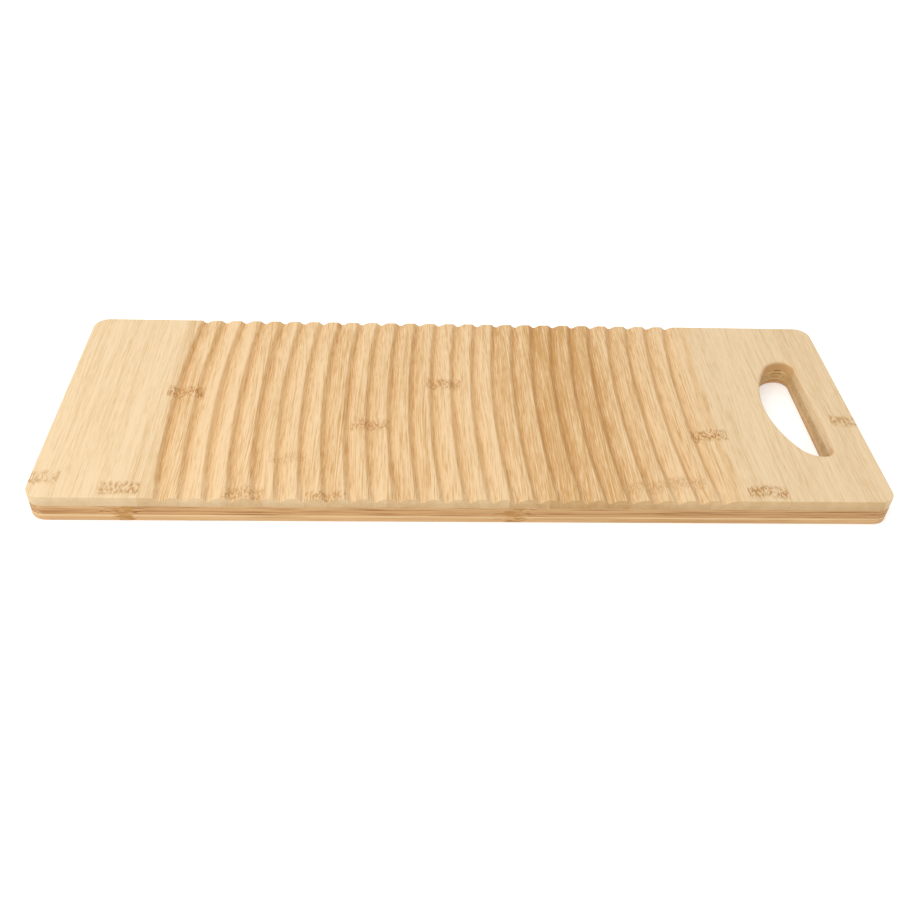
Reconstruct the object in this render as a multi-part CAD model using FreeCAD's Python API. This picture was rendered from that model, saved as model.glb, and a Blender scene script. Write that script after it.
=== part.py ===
import FreeCAD, Part
import math
import os

# Laminated bamboo washboard: three glued plies of solid strips.
# Frame: +X along the board towards the hand slot, +Y across it, +Z up out of the rubbing face.
# The origin is the centre of the flat underside. All sizes are in millimetres.

# Board
BOARD_LENGTH = 500.0
BOARD_WIDTH = 180.0
BOARD_THICKNESS = 18.0
CORNER_RADIUS = 10.0
TOP_EDGE_RADIUS = 1.0
BOTTOM_EDGE_RADIUS = 1.0

# Plies, from the underside up: back, core, rubbing face
BACK_PLY = 5.0
CORE_PLY = 6.5
FACE_PLY = BOARD_THICKNESS - BACK_PLY - CORE_PLY

# Strips
FACE_STRIP_PITCH = BOARD_LENGTH * 14 / 300
FACE_STRIP_COUNT = 22
CORE_STRIP_COUNT = 8
CORE_STRIP_WIDTH = BOARD_WIDTH / CORE_STRIP_COUNT
BACK_STRIP_COUNT = CORE_STRIP_COUNT + 1

# Grooves: equal arcs in plan, bowed towards -X. Each drops steeply from its crest, turns in a
# small valley, climbs out over a convex shoulder and runs along a gentle back to the next crest.
GROOVE_COUNT = 25
GROOVE_PITCH = 13.43
GROOVE_DEPTH = 2.6
GROOVE_PLAN_RADIUS = 830.0
FIRST_CREST_X = -183.5
STEEP_RUN = 4.4
CREST_LAND = 0.8
CREST_ROUND = 0.8
VALLEY_ROUND = 1.9
CLIMB_SLOPE = math.radians(38)
BACK_SLOPE = math.radians(4)
LAST_BACK_RUN = 12.8

# Hand slot: a D with its straight side towards the end of the board
SLOT_STRAIGHT_X = 226.5
SLOT_APEX_X = 195.0
SLOT_HALF_LENGTH = 48.5
SLOT_CORNER_RADIUS = 7.0
SLOT_BULGE_RADIUS = 80.0
SLOT_TOP_RIM_RADIUS = 2.0
SLOT_BOTTOM_RIM_RADIUS = 1.5

# Cutters and trimming boxes run past the faces by this much
OVERRUN = 20.0

UP = FreeCAD.Vector(0, 0, 1)


def box_between(low, high):
    """Box from its lowest to its highest corner."""
    size = [b - a for a, b in zip(low, high)]
    return Part.makeBox(*size, FreeCAD.Vector(*low))


def edges_at_height(solid, z):
    """The edges of a solid that lie wholly at one height."""
    def level(edge):
        box = edge.BoundBox
        return abs(box.ZMin - z) < 1e-4 and abs(box.ZMax - z) < 1e-4
    return [edge for edge in solid.Edges if level(edge)]


def upright_edges(solid):
    """The edges of a solid that stand parallel to Z."""
    return [edge for edge in solid.Edges if edge.BoundBox.ZLength > BOARD_THICKNESS / 2]


def on_circle(centre, radius, angle):
    """Point on a circle in plan, at an angle in radians from +X."""
    return centre + FreeCAD.Vector(radius * math.cos(angle), radius * math.sin(angle), 0)


def arc_edge(centre, radius, start, end):
    """Arc in plan between two angles in radians."""
    points = [on_circle(centre, radius, a) for a in (start, (start + end) / 2, end)]
    return Part.Arc(*points).toShape()


def line_edge(start, end):
    return Part.makeLine(start, end)


def slot_shoulder_radius(rise):
    """Radius of the arc that meets the bulge and turns level just where the corner arc begins.

    The rise is how far the start of the corner arc stands from the apex of the bulge, along X.
    """
    spare = SLOT_HALF_LENGTH ** 2 + rise ** 2 - 2 * SLOT_BULGE_RADIUS * rise
    return spare / (2 * (SLOT_HALF_LENGTH - SLOT_BULGE_RADIUS))


def slot_outline():
    """Closed D: straight side, two corner arcs, two shoulder arcs and the bulge, all tangent."""
    corner_x = SLOT_STRAIGHT_X - SLOT_CORNER_RADIUS
    corner_y = SLOT_HALF_LENGTH - SLOT_CORNER_RADIUS
    shoulder = slot_shoulder_radius(corner_x - SLOT_APEX_X)
    shoulder_y = SLOT_HALF_LENGTH - shoulder
    bulge_centre = FreeCAD.Vector(SLOT_APEX_X + SLOT_BULGE_RADIUS, 0, 0)
    meeting_angle = math.pi - math.asin(shoulder_y / (SLOT_BULGE_RADIUS - shoulder))

    edges = [arc_edge(bulge_centre, SLOT_BULGE_RADIUS, meeting_angle, 2 * math.pi - meeting_angle)]
    for side in (1, -1):
        shoulder_centre = FreeCAD.Vector(corner_x, side * shoulder_y, 0)
        corner_centre = FreeCAD.Vector(corner_x, side * corner_y, 0)
        quarter = side * math.pi / 2
        edges.append(arc_edge(shoulder_centre, shoulder, quarter, side * meeting_angle))
        edges.append(arc_edge(corner_centre, SLOT_CORNER_RADIUS, 0, quarter))
    edges.append(line_edge(FreeCAD.Vector(SLOT_STRAIGHT_X, -corner_y, 0),
                           FreeCAD.Vector(SLOT_STRAIGHT_X, corner_y, 0)))
    return Part.Wire(Part.__sortEdges__(edges))


def smooth_board():
    """The board before grooving: rounded corners, hand slot, and every edge eased."""
    half_length = BOARD_LENGTH / 2
    half_width = BOARD_WIDTH / 2
    board = box_between((-half_length, -half_width, 0), (half_length, half_width, BOARD_THICKNESS))
    board = board.makeFillet(CORNER_RADIUS, upright_edges(board))
    board = board.makeFillet(TOP_EDGE_RADIUS, edges_at_height(board, BOARD_THICKNESS))
    board = board.makeFillet(BOTTOM_EDGE_RADIUS, edges_at_height(board, 0))

    outline = slot_outline()
    outline.translate(-OVERRUN * UP)
    board = board.cut(Part.Face(outline).extrude((BOARD_THICKNESS + 2 * OVERRUN) * UP))
    for height, radius in ((BOARD_THICKNESS, SLOT_TOP_RIM_RADIUS), (0, SLOT_BOTTOM_RIM_RADIUS)):
        rim = [edge for edge in edges_at_height(board, height) if is_slot_edge(edge)]
        board = board.makeFillet(radius, rim)
    return board


def is_slot_edge(edge):
    box = edge.BoundBox
    reach = max(abs(box.YMin), abs(box.YMax))
    return reach < SLOT_HALF_LENGTH + 1 and SLOT_APEX_X - 1 < box.XMin and box.XMax < SLOT_STRAIGHT_X + 1


def steep_slope():
    """Slope of the straight face that joins the crest's round to the valley's."""
    run = STEEP_RUN - CREST_LAND / 2
    rounds = CREST_ROUND + VALLEY_ROUND
    rise = GROOVE_DEPTH - rounds
    return math.atan2(rise, run) + math.asin(rounds / math.hypot(run, rise))


def groove_shoulder_radius(back_run):
    """Radius of the convex arc from the climb out of the valley to the gentle back.

    The back then runs straight, so the arc and the back together fill the groove's run and depth.
    """
    climb, back = CLIMB_SLOPE, BACK_SLOPE
    run_left = back_run - VALLEY_ROUND * math.sin(climb)
    rise_left = GROOVE_DEPTH - VALLEY_ROUND * (1 - math.cos(climb))
    spare_rise = rise_left - run_left * math.tan(back)
    rise_per_radius = math.cos(back) - math.cos(climb)
    run_per_radius = math.sin(climb) - math.sin(back)
    return spare_rise / (rise_per_radius - run_per_radius * math.tan(back))


def at_slope(centre, radius, slope):
    """Point of an arc in the XZ plane where it climbs towards +X at a slope in radians.

    A positive radius is the humped side above the centre, a negative one the dished side below.
    """
    return centre + radius * FreeCAD.Vector(-math.sin(slope), 0, math.cos(slope))


def groove_section(crest_x, back_run):
    """Closed section of one groove in the XZ plane, from its crest towards +X."""
    land = CREST_LAND / 2
    steep = steep_slope()
    shoulder_radius = groove_shoulder_radius(back_run - land)
    valley_bottom = BOARD_THICKNESS - GROOVE_DEPTH
    crest_centre = FreeCAD.Vector(crest_x + land, 0, BOARD_THICKNESS - CREST_ROUND)
    valley_centre = FreeCAD.Vector(crest_x + STEEP_RUN, 0, valley_bottom + VALLEY_ROUND)
    shoulder_centre = at_slope(valley_centre, -(VALLEY_ROUND + shoulder_radius), CLIMB_SLOPE)
    next_crest = FreeCAD.Vector(crest_x + STEEP_RUN + back_run - land, 0, BOARD_THICKNESS)

    crest = [at_slope(crest_centre, CREST_ROUND, slope) for slope in (0, -steep / 2, -steep)]
    valley = [at_slope(valley_centre, -VALLEY_ROUND, slope) for slope in (-steep, 0, CLIMB_SLOPE)]
    shoulder = [at_slope(shoulder_centre, shoulder_radius, slope)
                for slope in (CLIMB_SLOPE, (CLIMB_SLOPE + BACK_SLOPE) / 2, BACK_SLOPE)]
    lid = OVERRUN * UP
    outline = [
        Part.Arc(*crest).toShape(),
        line_edge(crest[-1], valley[0]),
        Part.Arc(*valley).toShape(),
        Part.Arc(*shoulder).toShape(),
        line_edge(shoulder[-1], next_crest),
        line_edge(next_crest, next_crest + lid),
        line_edge(next_crest + lid, crest[0] + lid),
        line_edge(crest[0] + lid, crest[0]),
    ]
    return Part.Face(Part.Wire(outline))


def groove_cutter(index):
    """One groove: its section swept along an arc about an upright axis on the +X side."""
    crest_x = FIRST_CREST_X + index * GROOVE_PITCH
    is_last = index == GROOVE_COUNT - 1
    back_run = LAST_BACK_RUN if is_last else GROOVE_PITCH - STEEP_RUN
    half_sweep = math.degrees(math.asin((BOARD_WIDTH / 2 + OVERRUN) / GROOVE_PLAN_RADIUS))
    axis_point = FreeCAD.Vector(crest_x + GROOVE_PLAN_RADIUS, 0, 0)
    section = groove_section(crest_x, back_run)
    section.rotate(axis_point, UP, -half_sweep)
    return section.revolve(axis_point, UP, 2 * half_sweep)


def grooved_board():
    """The whole board as one shape, from which every strip takes its share."""
    board = smooth_board()
    for index in range(GROOVE_COUNT):
        board = board.cut(groove_cutter(index))
    return board


def share_of(board, x_range, y_range, z_range):
    """The solids of the board inside a box, from the lowest X to the highest."""
    low, high = zip(x_range, y_range, z_range)
    solids = board.common(box_between(low, high)).Solids
    return sorted(solids, key=lambda solid: solid.CenterOfMass.x)


def save(node, solid):
    solid.exportStep(f"parts/{node}.step")
    box = solid.BoundBox
    print(f"{node:20s} {solid.isValid()} {solid.Volume:10.1f} mm3"
          f"  X {box.XMin:7.2f} {box.XMax:7.2f}  Y {box.YMin:6.2f} {box.YMax:6.2f}"
          f"  Z {box.ZMin:5.2f} {box.ZMax:5.2f}")
    return solid.Volume


def strip_edges(low, high, inner):
    """Ranges between the outer limits and the inner seams, in order."""
    seams = [low, *inner, high]
    return list(zip(seams, seams[1:]))


def make_face_ply(board):
    """Strips laid across the board: equal ones, and an equal narrower one at each end."""
    half_length = BOARD_LENGTH / 2
    end_width = (BOARD_LENGTH - (FACE_STRIP_COUNT - 2) * FACE_STRIP_PITCH) / 2
    seams = [-half_length + end_width + i * FACE_STRIP_PITCH for i in range(FACE_STRIP_COUNT - 1)]
    across = (-BOARD_WIDTH / 2, BOARD_WIDTH / 2)
    layer = (BOARD_THICKNESS - FACE_PLY, BOARD_THICKNESS)
    volume = 0
    for number, along in enumerate(strip_edges(-half_length, half_length, seams), start=1):
        (strip,) = share_of(board, along, across, layer)
        volume += save(f"face_strip_{number:02d}", strip)
    return volume


def make_lengthwise_ply(board, name, y_ranges, layer):
    """Strips laid along the board. One that the slot cuts in two leaves an end block as well."""
    along = (-BOARD_LENGTH / 2, BOARD_LENGTH / 2)
    volume = 0
    for number, across in enumerate(y_ranges, start=1):
        pieces = share_of(board, along, across, layer)
        volume += save(f"{name}_strip_{number}", pieces[0])
        for piece in pieces[1:]:
            volume += save(f"{name}_end_block_{number}", piece)
    return volume


def make_core_ply(board):
    half_width = BOARD_WIDTH / 2
    seams = [-half_width + i * CORE_STRIP_WIDTH for i in range(1, CORE_STRIP_COUNT)]
    y_ranges = strip_edges(-half_width, half_width, seams)
    return make_lengthwise_ply(board, "core", y_ranges, (BACK_PLY, BACK_PLY + CORE_PLY))


def make_back_ply(board):
    """Seams staggered by half a strip against the core's, so the outer strips are half as wide."""
    half_width = BOARD_WIDTH / 2
    seams = [-half_width + (i - 0.5) * CORE_STRIP_WIDTH for i in range(1, BACK_STRIP_COUNT)]
    y_ranges = strip_edges(-half_width, half_width, seams)
    return make_lengthwise_ply(board, "back", y_ranges, (0, BACK_PLY))


os.makedirs("parts", exist_ok=True)
whole = grooved_board()
total = make_face_ply(whole) + make_core_ply(whole) + make_back_ply(whole)
print(f"board {whole.Volume:.1f} mm3 valid {whole.isValid()}, strips together {total:.1f} mm3")
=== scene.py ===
import math
import random

import bpy
from mathutils import Matrix, Vector


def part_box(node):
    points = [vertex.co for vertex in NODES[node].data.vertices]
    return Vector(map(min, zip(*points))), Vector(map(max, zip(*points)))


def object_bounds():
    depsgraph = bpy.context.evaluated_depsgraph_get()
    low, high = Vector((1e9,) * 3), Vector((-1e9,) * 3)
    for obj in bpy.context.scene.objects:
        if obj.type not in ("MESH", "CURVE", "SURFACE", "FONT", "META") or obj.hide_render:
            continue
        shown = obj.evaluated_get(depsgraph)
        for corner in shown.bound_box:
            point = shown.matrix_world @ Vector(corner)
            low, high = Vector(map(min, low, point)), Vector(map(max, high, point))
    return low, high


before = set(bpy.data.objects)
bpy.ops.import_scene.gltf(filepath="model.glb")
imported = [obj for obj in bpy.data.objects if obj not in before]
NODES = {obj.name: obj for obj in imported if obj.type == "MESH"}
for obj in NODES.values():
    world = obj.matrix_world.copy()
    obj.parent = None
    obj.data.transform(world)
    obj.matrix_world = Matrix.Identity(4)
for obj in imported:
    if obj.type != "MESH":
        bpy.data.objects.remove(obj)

cad_low, cad_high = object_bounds()
MM = 0.001

# The board in millimetres: its box comes from the frame, and the rest repeats the part's own sizes,
# the last groove's end to the nearest half millimetre
BOARD_LOW = tuple(v / MM for v in cad_low)
BOARD_HIGH = tuple(v / MM for v in cad_high)
TOP_Z = BOARD_HIGH[2]
GROOVE_PLAN_RADIUS = 830
GROOVE_PITCH = 13.43
FIRST_CREST_X = -183.5
LAST_GROOVE_END_X = 155.5
SLOT_X = (195, 226.5)
SLOT_HALF_LENGTH = 48.5
BACK_TOP_Z = 5.0

# How near a strip's box comes to the board's before it counts as an outside face, and how far
# such a face's seam is then moved away, so that no glue line is drawn on it
OUTSIDE_WITHIN = 0.5
SEAM_CLEARANCE = 10

# The view: place in millimetres, angles in degrees, lens for a 36 mm sensor, near clip in metres
CAMERA_PLACE = (-39.06, -502.0, 409.45)
CAMERA_DOWN, CAMERA_TURN, CAMERA_ROLL = 40.62, 3.71, 2.92
CAMERA_LENS, SENSOR_WIDTH = 40.08, 36
CAMERA_CLIP_START = 0.01

# The studio, in metres: a floor with a slight glow, an even surround and one soft light
FLOOR_SIZE = 12
FLOOR_GREY, FLOOR_ROUGHNESS, FLOOR_GLOW = 0.86, 0.9, 0.3
SURROUND_STRENGTH = 0.95
KEY_PLACE, KEY_SIZE, KEY_POWER = (-0.6, -0.25, 0.9), 1.0, 6.2

# Bamboo colours, as reflectance: the clear matrix and the streaks and bundles that darken it
FACE_LIGHT = (0.705, 0.530, 0.320)
FACE_DARK = (0.555, 0.360, 0.166)
CORE_LIGHT = (0.515, 0.293, 0.115)
CORE_DARK = (0.300, 0.125, 0.032)
BACK_LIGHT = (0.590, 0.365, 0.168)
BACK_DARK = (0.420, 0.220, 0.075)
BROWN = (0.390, 0.192, 0.048)

# Tints that multiply those colours by place, such as cut ends, the grooved field, the right-hand
# end and the slot. The valley tint is partly the valleys' own warmer colour and partly painted shade,
# and the crest tint partly wear and partly painted highlight, both standing in for the shading of
# grooves deeper and sharper than the modelled ones. The right-hand tints are partly the wood's
# own darker tone and partly painted shade, the light falling off towards the right end.
END_GRAIN_TINT = (0.88, 0.87, 0.84)
FIELD_TINT = (1.00, 0.935, 0.855)
VALLEY_WARMTH_AND_SHADE_TINT = (0.955, 0.870, 0.730)
CREST_WEAR_AND_HIGHLIGHT_TINT = (1.015, 1.030, 1.055)
LOWER_SIDE_TINT = (0.92, 0.91, 0.90)
RIGHT_SIDE_TONE_AND_SHADE = (0.90, 0.84, 0.73)
SLOT_END_TINT = (0.92, 0.78, 0.57)
RIGHT_CORE_TONE_AND_SHADE = (0.92, 0.91, 0.90)
UPPER_CORE_TINT = (1.06, 1.12, 1.22)
SLOT_CORE_TINT = (1.28, 1.52, 1.70)
TOP_OF_BACK_TINT = (1.13, 1.30, 1.50)
DARKER_FROM_X, DARKER_TO_X = -150, 240

# Where those tints fade, in millimetres: in from a long side, in from the near side, down from the
# top on a long side, down from the top and in from the ends in the slot, and out from the slot
SIDE_FADE = (0.9, 0.1)
VALLEY_TINT_FADE = (3, 30)
LOWER_SIDE_FADE = (5.0, 1.5)
SLOT_RIM_FADE = (2.0, 0.2)
SLOT_END_FADE = (12.5, 4.5)
SLOT_OUTER_FADE = (0.5, 1)

# Where the grooved field fades in past its first crest, and out past its last groove's end
FIELD_IN, FIELD_OUT = (-1, 3), (-10, 12)

# Share of the field's tint that end grain on the long sides does without
FIELD_TINT_LOST_ON_SIDE = 0.6

# How toasted each strip of the rubbing face is, from the left end: 0 is the palest, 9 the darkest
FACE_TOAST = "0003031324125975211001"

# Culm nodes that show on the rubbing face: strip number, place across the board, strength
FACE_KNOTS = {
    1: (-73, 0.7), 3: (-82, 0.9), 4: (8, 1.0), 6: (-85, 0.7), 7: (-55, 0.3), 8: (-88, 0.8),
    9: (-22, 0.8), 11: (20, 0.8), 16: (-77, 0.45), 17: (-73, 0.5), 18: (-30, 1.0), 19: (-82, 1.0),
    22: (-15, 0.8),
}

# Where a strip's culm node goes when none shows: off the board, and repeated no nearer than that
HIDDEN_KNOT = 140

# Culm nodes of the lengthwise strips: how far apart, and the place and strength on the near side
LONG_KNOT_SPACING = 222
NEAR_SIDE_KNOT_X = -195
NEAR_SIDE_KNOT = 1.8

# Every lengthwise strip draws its toast from the first of these. Those away from the near side
# take their culm node's place and strength from the other two
LONG_TOAST = (0, 2)
LONG_KNOT_PLACES = (-110, 110)
LONG_KNOT_STRENGTHS = (0.7, 1.0)
CORE_SEEDS, BACK_SEEDS = 100, 200

# Each strip's texture is moved by up to this along each axis, so that no two strips match. An end
# block is the far end of a strip that the slot cuts in two, so it keeps that strip's texture
SEED_SPREAD = 400

# How many times longer every texture is in the lengthwise strips
LONG_REACH = 2.5

# How nearly a surface faces along the fibres where end grain begins, and where it is full
END_GRAIN_FACING = (0.35, 0.9)

# Streak contrast: a cross strip's smooth end, what the grooved field adds, and the lengthwise plies
FLAT_CONTRAST, FIELD_CONTRAST = 1.05, 0.85
CORE_CONTRAST, BACK_CONTRAST = 2.2, 1.4

# Streak textures: size along, across and up the strip, and noise detail. Bundles are cells, with
# a soft edge between these distances from a cell's middle, in cells
BROAD_GRAIN = (300, 8, 8), 2.0
MEDIUM_GRAIN = (50, 1.7, 1.7), 2.0
FINE_GRAIN = (34, 0.65, 0.65), 1.0
SHORT_GRAIN = (9, 0.7, 0.7), 1.0
BUNDLE_CELLS = (12, 1.2, 1.2)
BUNDLE_EDGE = (0.10, 0.45)

# How far each texture moves the darkness, and the value that leaves it unmoved
BROAD_AMOUNT, MEDIUM_AMOUNT, FINE_AMOUNT, SHORT_AMOUNT = 1.1, 0.65, 1.45, 0.85
BUNDLE_AMOUNT = 0.20
NOISE_MIDDLE, BUNDLE_MIDDLE = 0.5, 0.15

# Darkness of a strip with no streaks and no toast, and what one step of toast adds
PLAIN_DARKNESS, TOAST_STEP = 0.17, 0.10

# Share of the streaks that end grain does without
STREAKS_LOST_ON_END = 0.6

# Darkness between the first pair is eased to lie between the second, so that extremes level off
DARKNESS_GIVEN, DARKNESS_EASED = (-0.45, 1.75), (-0.15, 1.45)

# How far fibres wander across the strip, swirl near a culm node, and the node wavers along it:
# noise size, noise detail and reach in millimetres
FIBRE_SWAY = (90, 30, 30), 0.0, 5.0
KNOT_SWIRL = (5, 4, 4), 1.0, 4.0
KNOT_WAVER = (400, 7, 7), 2.0, 7.0

# A culm node: how far off fibres start to swirl, its band's soft edge, and its strokes and patches
KNOT_SWIRL_REACH = 16.0
KNOT_BAND_EDGE = (2.5, 7.0)
STROKE_GRAIN = (2.6, 0.9, 0.9), 0.0
PATCH_GRAIN = (6, 5, 5), 2.0

# Noise values between which brown strokes, pale strokes and patches set in or fade
BROWN_STROKE_EDGE, PALE_STROKE_EDGE, PATCH_EDGE = (0.43, 0.56), (0.37, 0.45), (0.30, 0.55)

# Brown of a culm node's band, what a stroke adds to it, the share of both that is left between
# patches, and how pale a pale stroke is
BAND_BROWN, STROKE_BROWN, BETWEEN_PATCHES = 0.20, 0.68, 0.35
PALE_STROKE = 0.75

# A glue line: its soft edge from the joint, and how brown it is
SEAM_EDGE, SEAM_STRENGTH = (0.03, 0.22), 0.22

# Roughness of clear fibre, what full darkness adds and what a culm node's brown adds
CLEAR_ROUGHNESS, DARK_ROUGHNESS, BROWN_ROUGHNESS = 0.50, 0.14, 0.12
SPECULAR = 0.35

# Relief: bump strength, its depth in metres, and how much fibres rise and the other marks sink
RELIEF_STRENGTH, RELIEF_DEPTH = 0.5, 0.00008
FIBRE_RISE, BUNDLE_DIP, BROWN_DIP, SEAM_DIP = 0.8, 0.6, 1.0, 1.0

# Where the valley and crest tints rise and fall, in millimetres past a groove's crest
VALLEY_RISE, VALLEY_FALL = (0.9, 1.7), (3.4, 6.8)
CREST_FALL, CREST_RISE = (0.6, 1.3), (9.5, 12.0)

# Heights where the core turns paler, and the bright line under the back ply's glued top
UPPER_CORE_Z = (8.0, 10.0)
BACK_LINE_FROM_Z, BACK_LINE_TO_Z = (3.5, 4.0), (4.8, BACK_TOP_Z)


# ---------------------------------------------------------------- camera, floor and light

def make_camera():
    """The photograph's view: from above the long near side, a little left of the middle."""
    place = Vector(CAMERA_PLACE) * MM
    down, turn, roll = (math.radians(a) for a in (CAMERA_DOWN, CAMERA_TURN, CAMERA_ROLL))
    forward = Vector((math.sin(turn) * math.cos(down), math.cos(turn) * math.cos(down), -math.sin(down)))
    level = Vector((math.cos(turn), -math.sin(turn), 0))
    upward = level.cross(forward)
    right = math.cos(roll) * level + math.sin(roll) * upward
    top = math.cos(roll) * upward - math.sin(roll) * level
    data = bpy.data.cameras.new("camera")
    data.sensor_width = SENSOR_WIDTH
    data.lens = CAMERA_LENS
    data.clip_start = CAMERA_CLIP_START
    camera = bpy.data.objects.new("camera", data)
    bpy.context.scene.collection.objects.link(camera)
    camera.matrix_world = Matrix.Translation(place) @ Matrix((right, top, -forward)).transposed().to_4x4()
    bpy.context.scene.camera = camera


def make_light(name, place, size, power):
    """A square area light aimed at the middle of the board."""
    data = bpy.data.lights.new(name, "AREA")
    data.size = size
    data.energy = power
    light = bpy.data.objects.new(name, data)
    light.location = place
    light.rotation_euler = (-Vector(place)).to_track_quat("-Z", "Y").to_euler()
    bpy.context.scene.collection.objects.link(light)


def make_stage():
    """A pale floor, a white surround, and one large soft light from above the left end."""
    bpy.ops.mesh.primitive_plane_add(size=FLOOR_SIZE, location=(0, 0, 0))
    floor = bpy.context.object
    floor.name = "floor"
    paint = bpy.data.materials.new("floor_white")
    paint.use_nodes = True
    shader = paint.node_tree.nodes["Principled BSDF"]
    shader.inputs["Base Color"].default_value = colour((FLOOR_GREY,) * 3)
    shader.inputs["Roughness"].default_value = FLOOR_ROUGHNESS
    shader.inputs["Emission Color"].default_value = (1, 1, 1, 1)
    shader.inputs["Emission Strength"].default_value = FLOOR_GLOW
    floor.data.materials.append(paint)

    world = bpy.data.worlds.new("surround")
    world.use_nodes = True
    background = world.node_tree.nodes["Background"]
    background.inputs["Color"].default_value = (1, 1, 1, 1)
    background.inputs["Strength"].default_value = SURROUND_STRENGTH
    bpy.context.scene.world = world
    make_light("key", KEY_PLACE, KEY_SIZE, KEY_POWER)
    bpy.context.scene.view_settings.view_transform = "Standard"


# ---------------------------------------------------------------- node building

class Graph:
    """Adds nodes to one tree. Each method returns the socket that the next one takes."""

    def __init__(self, tree):
        self.tree = tree

    def feed(self, socket, value):
        if isinstance(value, bpy.types.NodeSocket):
            self.tree.links.new(value, socket)
        else:
            socket.default_value = value

    def add(self, kind, values, **settings):
        node = self.tree.nodes.new(kind)
        for name, setting in settings.items():
            setattr(node, name, setting)
        for name, value in values.items():
            self.feed(node.inputs[name], value)
        return node

    def calc(self, operation, *values, clamp=False):
        node = self.add("ShaderNodeMath", {}, operation=operation, use_clamp=clamp)
        for socket, value in zip(node.inputs, values):
            self.feed(socket, value)
        return node.outputs[0]

    def vector(self, operation, *values):
        node = self.add("ShaderNodeVectorMath", {}, operation=operation)
        for socket, value in zip(node.inputs, values):
            self.feed(socket, value)
        return node.outputs[0]

    def split(self, vector):
        return self.add("ShaderNodeSeparateXYZ", {"Vector": vector}).outputs[:3]

    def join(self, x, y, z):
        return self.add("ShaderNodeCombineXYZ", {"X": x, "Y": y, "Z": z}).outputs[0]

    def smooth(self, value, low, high, at_low=0.0, at_high=1.0):
        """A soft step from one value at low to another at high."""
        node = self.add("ShaderNodeMapRange", {"Value": value}, interpolation_type="SMOOTHSTEP")
        limits = (("From Min", low), ("From Max", high), ("To Min", at_low), ("To Max", at_high))
        for name, number in limits:
            self.feed(node.inputs[name], number)
        return node.outputs[0]

    def mix(self, amount, a, b, blend="MIX"):
        node = self.add("ShaderNodeMix", {}, data_type="RGBA", blend_type=blend, clamp_factor=False)
        for index, value in ((0, amount), (6, a), (7, b)):
            self.feed(node.inputs[index], value)
        return node.outputs[2]

    def tint(self, amount, base, rgb):
        """The base colour multiplied by a tint, as far as the amount says."""
        return self.mix(amount, base, colour(rgb), "MULTIPLY")

    def noise(self, vector, grain_size, detail=2.0):
        """Noise whose blobs have the given size along each axis of the vector."""
        scaled = self.vector("DIVIDE", vector, grain_size)
        node = self.add("ShaderNodeTexNoise", {"Vector": scaled, "Scale": 1.0, "Detail": detail})
        return node.outputs[0]

    def wander(self, vector, grain_size, detail, reach):
        """Noise about zero, stretched to a reach."""
        centred = self.calc("SUBTRACT", self.noise(vector, grain_size, detail), NOISE_MIDDLE)
        return self.calc("MULTIPLY", centred, reach)

    def cells(self, vector, grain_size):
        """Distance to the nearest cell centre, with cells of the given size along each axis."""
        scaled = self.vector("DIVIDE", vector, grain_size)
        return self.add("ShaderNodeTexVoronoi", {"Vector": scaled, "Scale": 1.0}, feature="F1").outputs[0]


def colour(rgb):
    return (*rgb, 1.0)


# ---------------------------------------------------------------- bamboo

BAMBOO_INPUTS = (
    ("Grain", "NodeSocketVector"), ("End", "NodeSocketFloat"), ("Seed", "NodeSocketVector"),
    ("Light", "NodeSocketColor"), ("Dark", "NodeSocketColor"), ("Toast", "NodeSocketFloat"),
    ("Contrast", "NodeSocketFloat"), ("Reach", "NodeSocketFloat"),
    ("Knot At", "NodeSocketFloat"), ("Knot Spacing", "NodeSocketFloat"), ("Knot", "NodeSocketFloat"),
    ("Seam Low", "NodeSocketVector"), ("Seam High", "NodeSocketVector"),
)
BAMBOO_OUTPUTS = (
    ("Color", "NodeSocketColor"), ("Roughness", "NodeSocketFloat"), ("Height", "NodeSocketFloat"),
)


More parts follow.
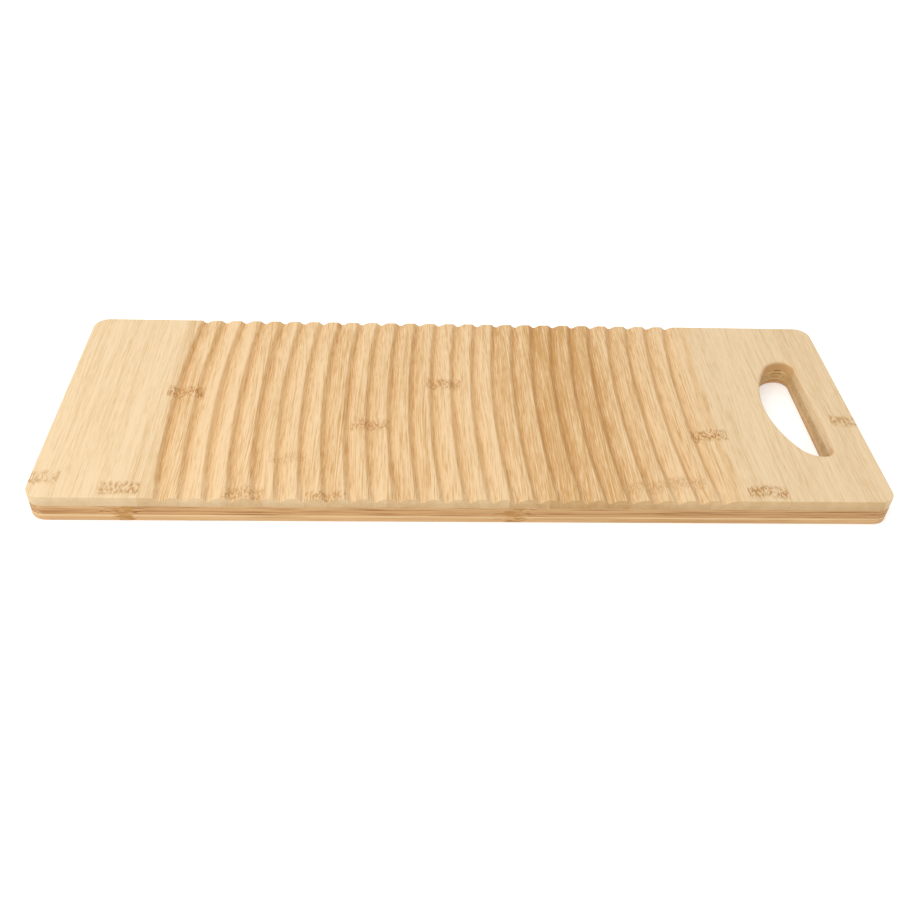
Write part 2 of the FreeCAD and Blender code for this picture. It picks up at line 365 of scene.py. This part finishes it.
def bamboo_group():
    """One strip of split bamboo. Grain is a place in millimetres: along, across and up the strip."""
    tree = bpy.data.node_groups.new("bamboo", "ShaderNodeTree")
    for name, kind in BAMBOO_INPUTS:
        tree.interface.new_socket(name, in_out="INPUT", socket_type=kind)
    for name, kind in BAMBOO_OUTPUTS:
        tree.interface.new_socket(name, in_out="OUTPUT", socket_type=kind)
    g = Graph(tree)
    given = tree.nodes.new("NodeGroupInput").outputs
    along, across, up = g.split(given["Grain"])

    # Culm node: a wavering band right across the strip
    stretched = g.join(g.calc("DIVIDE", along, given["Reach"]), across, up)
    seeded = g.vector("ADD", stretched, given["Seed"])
    waver = g.wander(seeded, *KNOT_WAVER)
    half_spacing = g.calc("MULTIPLY", given["Knot Spacing"], 0.5)
    offset = g.calc("ADD", g.calc("SUBTRACT", along, given["Knot At"]), waver)
    offset = g.calc("WRAP", offset, half_spacing, g.calc("MULTIPLY", half_spacing, -1.0))
    distance = g.calc("ABSOLUTE", offset)
    knot = g.calc("MULTIPLY", given["Knot"], g.calc("SUBTRACT", 1.0, given["End"]))
    near_knot = g.calc("MULTIPLY", g.smooth(distance, 0.0, KNOT_SWIRL_REACH, 1.0, 0.0), knot)
    band = g.calc("MULTIPLY", g.smooth(distance, *KNOT_BAND_EDGE, 1.0, 0.0), knot)

    # Fibres wander a little, and swirl where they pass a culm node
    sway = g.wander(seeded, *FIBRE_SWAY)
    swirl = g.calc("MULTIPLY", g.wander(seeded, *KNOT_SWIRL), near_knot)
    bent = g.vector("ADD", seeded, g.join(0.0, g.calc("ADD", sway, swirl), 0.0))

    # Long streaks, finer streaks, single fibres, and the dark vascular bundles
    broad = g.noise(bent, *BROAD_GRAIN)
    medium = g.noise(bent, *MEDIUM_GRAIN)
    fine = g.noise(bent, *FINE_GRAIN)
    short = g.noise(bent, *SHORT_GRAIN)
    bundles = g.smooth(g.cells(bent, BUNDLE_CELLS), *BUNDLE_EDGE, 1.0, 0.0)

    streaks = 0.0
    for texture, centre, amount in (
            (medium, NOISE_MIDDLE, MEDIUM_AMOUNT), (fine, NOISE_MIDDLE, FINE_AMOUNT),
            (short, NOISE_MIDDLE, SHORT_AMOUNT), (bundles, BUNDLE_MIDDLE, BUNDLE_AMOUNT)):
        streaks = g.calc("MULTIPLY_ADD", g.calc("SUBTRACT", texture, centre), amount, streaks)
    plain = g.calc("MULTIPLY_ADD", given["End"], -STREAKS_LOST_ON_END, 1.0)
    streaks = g.calc("MULTIPLY", g.calc("MULTIPLY", streaks, plain), given["Contrast"])
    darkness = g.calc("MULTIPLY_ADD", given["Toast"], TOAST_STEP, PLAIN_DARKNESS)
    darkness = g.calc("MULTIPLY_ADD", g.calc("SUBTRACT", broad, NOISE_MIDDLE), BROAD_AMOUNT, darkness)
    darkness = g.calc("ADD", darkness, streaks)
    darkness = g.smooth(darkness, *DARKNESS_GIVEN, *DARKNESS_EASED)
    base = g.mix(g.calc("MAXIMUM", darkness, 0.0), given["Light"], given["Dark"])

    # Short strokes of torn fibre crowd the culm node's band, brown ones among pale ones
    stroke_field = g.noise(bent, *STROKE_GRAIN)
    stroke = g.smooth(stroke_field, *BROWN_STROKE_EDGE)
    patchy = g.smooth(g.noise(seeded, *PATCH_GRAIN), *PATCH_EDGE)
    brown = g.calc("MULTIPLY", band, g.calc("MULTIPLY_ADD", stroke, STROKE_BROWN, BAND_BROWN))
    patchy = g.calc("MULTIPLY_ADD", patchy, 1 - BETWEEN_PATCHES, BETWEEN_PATCHES)
    brown = g.calc("MULTIPLY", brown, patchy, clamp=True)
    pale = g.smooth(stroke_field, *PALE_STROKE_EDGE, PALE_STROKE, 0.0)
    pale = g.calc("MULTIPLY", pale, band, clamp=True)
    base = g.mix(pale, base, given["Light"])
    base = g.mix(brown, base, colour(BROWN))

    # End grain is a little darker than the fibres' sides
    base = g.tint(given["End"], base, END_GRAIN_TINT)

    # Glue lines where the strip's sides, top and underside meet its neighbours
    low_gap = g.vector("SUBTRACT", given["Grain"], given["Seam Low"])
    high_gap = g.vector("SUBTRACT", given["Seam High"], given["Grain"])
    gap = g.split(g.vector("MINIMUM", low_gap, high_gap))
    seam = g.smooth(g.calc("MINIMUM", gap[1], gap[2]), *SEAM_EDGE, SEAM_STRENGTH, 0.0)
    base = g.mix(seam, base, colour(BROWN))

    roughness = g.calc("MULTIPLY_ADD", darkness, DARK_ROUGHNESS, CLEAR_ROUGHNESS)
    roughness = g.calc("MULTIPLY_ADD", brown, BROWN_ROUGHNESS, roughness)
    height = g.calc("MULTIPLY", fine, FIBRE_RISE)
    for mark, dip in ((bundles, BUNDLE_DIP), (brown, BROWN_DIP), (seam, SEAM_DIP)):
        height = g.calc("MULTIPLY_ADD", mark, -dip, height)

    out = tree.nodes.new("NodeGroupOutput").inputs
    for name, value in (("Color", base), ("Roughness", roughness), ("Height", height)):
        g.feed(out[name], value)
    return tree


def seam_corners(node, axes):
    """The strip's box in grain order. Sides on the outside of the board are moved clear of it."""
    low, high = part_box(node)
    lows, highs = [], []
    for axis in axes:
        near, far = low[axis] / MM, high[axis] / MM
        lows.append(near - SEAM_CLEARANCE if near < BOARD_LOW[axis] + OUTSIDE_WITHIN else near)
        highs.append(far + SEAM_CLEARANCE if far > BOARD_HIGH[axis] - OUTSIDE_WITHIN else far)
    return lows, highs


def strip_material(node, lengthwise, light, dark, toast, contrast, knot_at, knot_spacing, knot, seed):
    """Bamboo for one strip. Grain runs along X in a lengthwise strip, along Y in a face strip."""
    dice = random.Random(seed)
    material = bpy.data.materials.new(node)
    material.use_nodes = True
    g = Graph(material.node_tree)
    coordinates = material.node_tree.nodes.new("ShaderNodeTexCoord").outputs
    x, y, z = g.split(g.vector("MULTIPLY", coordinates["Object"], (1 / MM,) * 3))
    normal_x, normal_y = g.split(coordinates["Normal"])[:2]
    axes = (0, 1, 2) if lengthwise else (1, 0, 2)
    along_normal = normal_x if lengthwise else normal_y
    grain = g.join(x, y, z) if lengthwise else g.join(y, x, z)
    seam_low, seam_high = seam_corners(node, axes)

    bamboo = g.add("ShaderNodeGroup", {}, node_tree=bpy.data.node_groups["bamboo"])
    for name, value in (
        ("Grain", grain), ("End", g.smooth(g.calc("ABSOLUTE", along_normal), *END_GRAIN_FACING)),
        ("Seed", [dice.uniform(-SEED_SPREAD, SEED_SPREAD) for _ in range(3)]),
        ("Light", colour(light)), ("Dark", colour(dark)), ("Toast", toast),
        ("Contrast", contrast), ("Reach", LONG_REACH if lengthwise else 1.0),
        ("Knot At", knot_at), ("Knot Spacing", knot_spacing), ("Knot", knot),
        ("Seam Low", seam_low), ("Seam High", seam_high),
    ):
        g.feed(bamboo.inputs[name], value)
    return material, g, bamboo, (x, y, z)


def finish_material(material, g, bamboo, base):
    """Wire a strip's colour, roughness and fibre relief to its shader."""
    shader = material.node_tree.nodes["Principled BSDF"]
    shader.inputs["Specular IOR Level"].default_value = SPECULAR
    relief = {"Height": bamboo.outputs["Height"], "Strength": RELIEF_STRENGTH, "Distance": RELIEF_DEPTH}
    bump = g.add("ShaderNodeBump", relief)
    g.feed(shader.inputs["Base Color"], base)
    g.feed(shader.inputs["Roughness"], bamboo.outputs["Roughness"])
    g.feed(shader.inputs["Normal"], bump.outputs[0])
    return material


def rightward(g, x):
    """0 at the left of the board, 1 near its right end, where the side and the core are darker, partly in
    tone and partly as painted shade.
    """
    return g.smooth(x, DARKER_FROM_X, DARKER_TO_X)


def around_slot(g, x, y):
    """1 on the hand slot's walls and in its rim, 0 elsewhere on the board."""
    inner, outer = SLOT_OUTER_FADE
    along = g.calc("MULTIPLY",
                   g.smooth(x, SLOT_X[0] - outer, SLOT_X[0] - inner),
                   g.smooth(x, SLOT_X[1] + inner, SLOT_X[1] + outer, 1.0, 0.0))
    away = g.calc("ABSOLUTE", y)
    across = g.smooth(away, SLOT_HALF_LENGTH + inner, SLOT_HALF_LENGTH + outer, 1.0, 0.0)
    return g.calc("MULTIPLY", along, across)


def groove_places(g, x, y):
    """How much a place is in the grooved field, down in a valley there, and on a crest, where wear and
    painted highlight are laid.
    """
    reach = g.calc("SQRT", g.calc("SUBTRACT", GROOVE_PLAN_RADIUS ** 2, g.calc("MULTIPLY", y, y)))
    bowed_x = g.calc("ADD", g.calc("SUBTRACT", x, GROOVE_PLAN_RADIUS), reach)
    field = g.calc("MULTIPLY",
                   g.smooth(bowed_x, *(FIRST_CREST_X + v for v in FIELD_IN)),
                   g.smooth(bowed_x, *(LAST_GROOVE_END_X + v for v in FIELD_OUT), 1.0, 0.0))
    past_crest = g.calc("FLOORED_MODULO", g.calc("SUBTRACT", bowed_x, FIRST_CREST_X), GROOVE_PITCH)
    valley = g.calc("MULTIPLY",
                    g.smooth(past_crest, *VALLEY_RISE), g.smooth(past_crest, *VALLEY_FALL, 1.0, 0.0))
    crest = g.calc("MAXIMUM",
                   g.smooth(past_crest, *CREST_RISE), g.smooth(past_crest, *CREST_FALL, 1.0, 0.0))
    return field, g.calc("MULTIPLY", valley, field), g.calc("MULTIPLY", crest, field)


def face_material(node, number):
    """A cross strip of the rubbing face: warmer in the grooved field, warmest and darkest down in the
    valleys, partly their own colour and partly painted shade.
    """
    knot_at, knot = FACE_KNOTS.get(number, (HIDDEN_KNOT, 0.0))
    toast = int(FACE_TOAST[number - 1])
    material, g, bamboo, (x, y, z) = strip_material(
        node, False, FACE_LIGHT, FACE_DARK, toast, FLAT_CONTRAST,
        knot_at, 2 * HIDDEN_KNOT, knot, seed=number)
    base = bamboo.outputs["Color"]
    away = g.calc("ABSOLUTE", y)
    side = g.smooth(away, *(BOARD_HIGH[1] - v for v in SIDE_FADE))

    field, valley, crest = groove_places(g, x, y)
    g.feed(bamboo.inputs["Contrast"], g.calc("MULTIPLY_ADD", field, FIELD_CONTRAST, FLAT_CONTRAST))
    kept = g.calc("MULTIPLY_ADD", side, -FIELD_TINT_LOST_ON_SIDE, 1.0)
    base = g.tint(g.calc("MULTIPLY", field, kept), base, FIELD_TINT)
    # Valleys: warmer and darker, partly their own colour and partly painted shade, fading out towards the
    # near side
    inward = g.smooth(y, *(BOARD_LOW[1] + v for v in VALLEY_TINT_FADE))
    base = g.tint(g.calc("MULTIPLY", valley, inward), base, VALLEY_WARMTH_AND_SHADE_TINT)
    # Crests: paler, partly from wear and partly as painted highlight
    base = g.tint(crest, base, CREST_WEAR_AND_HIGHLIGHT_TINT)

    # End grain: on the long sides, darker low down and to the right, the rightward part partly tone and
    # partly painted shade, and deepest at the slot's ends
    lower = g.smooth(z, *(TOP_Z - v for v in LOWER_SIDE_FADE), 1.0, 0.0)
    base = g.tint(g.calc("MULTIPLY", side, lower), base, LOWER_SIDE_TINT)
    base = g.tint(g.calc("MULTIPLY", side, rightward(g, x)), base, RIGHT_SIDE_TONE_AND_SHADE)
    below_rim = g.smooth(z, *(TOP_Z - v for v in SLOT_RIM_FADE), 1.0, 0.0)
    at_slot_end = g.smooth(away, *(SLOT_HALF_LENGTH - v for v in SLOT_END_FADE))
    end_cut = g.calc("MULTIPLY", g.calc("MULTIPLY", around_slot(g, x, y), below_rim), at_slot_end)
    base = g.tint(end_cut, base, SLOT_END_TINT)
    return finish_material(material, g, bamboo, base)


def lengthwise_material(node, light, dark, contrast, seed):
    """A strip that runs the length of the board. One on the near long side shows its culm nodes."""
    dice = random.Random(seed)
    toast = dice.uniform(*LONG_TOAST)
    knot_at, knot = dice.uniform(*LONG_KNOT_PLACES), dice.uniform(*LONG_KNOT_STRENGTHS)
    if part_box(node)[0][1] / MM < BOARD_LOW[1] + OUTSIDE_WITHIN:
        knot_at, knot = NEAR_SIDE_KNOT_X, NEAR_SIDE_KNOT
    return strip_material(
        node, True, light, dark, toast, contrast, knot_at, LONG_KNOT_SPACING, knot, seed)


def core_material(node, number):
    """A core strip: paler near its top, and palest where the hand slot is cut through it."""
    material, g, bamboo, (x, y, z) = lengthwise_material(
        node, CORE_LIGHT, CORE_DARK, CORE_CONTRAST, CORE_SEEDS + number)
    # Darker towards the right end, partly in tone and partly as painted shade
    base = g.tint(rightward(g, x), bamboo.outputs["Color"], RIGHT_CORE_TONE_AND_SHADE)
    base = g.tint(g.smooth(z, *UPPER_CORE_Z), base, UPPER_CORE_TINT)
    base = g.tint(around_slot(g, x, y), base, SLOT_CORE_TINT)
    return finish_material(material, g, bamboo, base)


def back_material(node, number):
    """A back strip: a bright line of clear fibre runs under its glued top face."""
    material, g, bamboo, (_, _, z) = lengthwise_material(
        node, BACK_LIGHT, BACK_DARK, BACK_CONTRAST, BACK_SEEDS + number)
    line = g.calc("MULTIPLY", g.smooth(z, *BACK_LINE_FROM_Z), g.smooth(z, *BACK_LINE_TO_Z, 1.0, 0.0))
    base = g.tint(line, bamboo.outputs["Color"], TOP_OF_BACK_TINT)
    return finish_material(material, g, bamboo, base)


def give(node, material):
    mesh = NODES[node].data
    mesh.materials.clear()
    mesh.materials.append(material)


def finish_strips():
    """Every strip gets its own bamboo. A node's first word is its ply, and the last its number."""
    bamboo_group()
    finish_for_ply = {"face": face_material, "core": core_material, "back": back_material}
    for node in NODES:
        words = node.split("_")
        give(node, finish_for_ply[words[0]](node, int(words[-1])))


make_camera()
make_stage()
finish_strips()
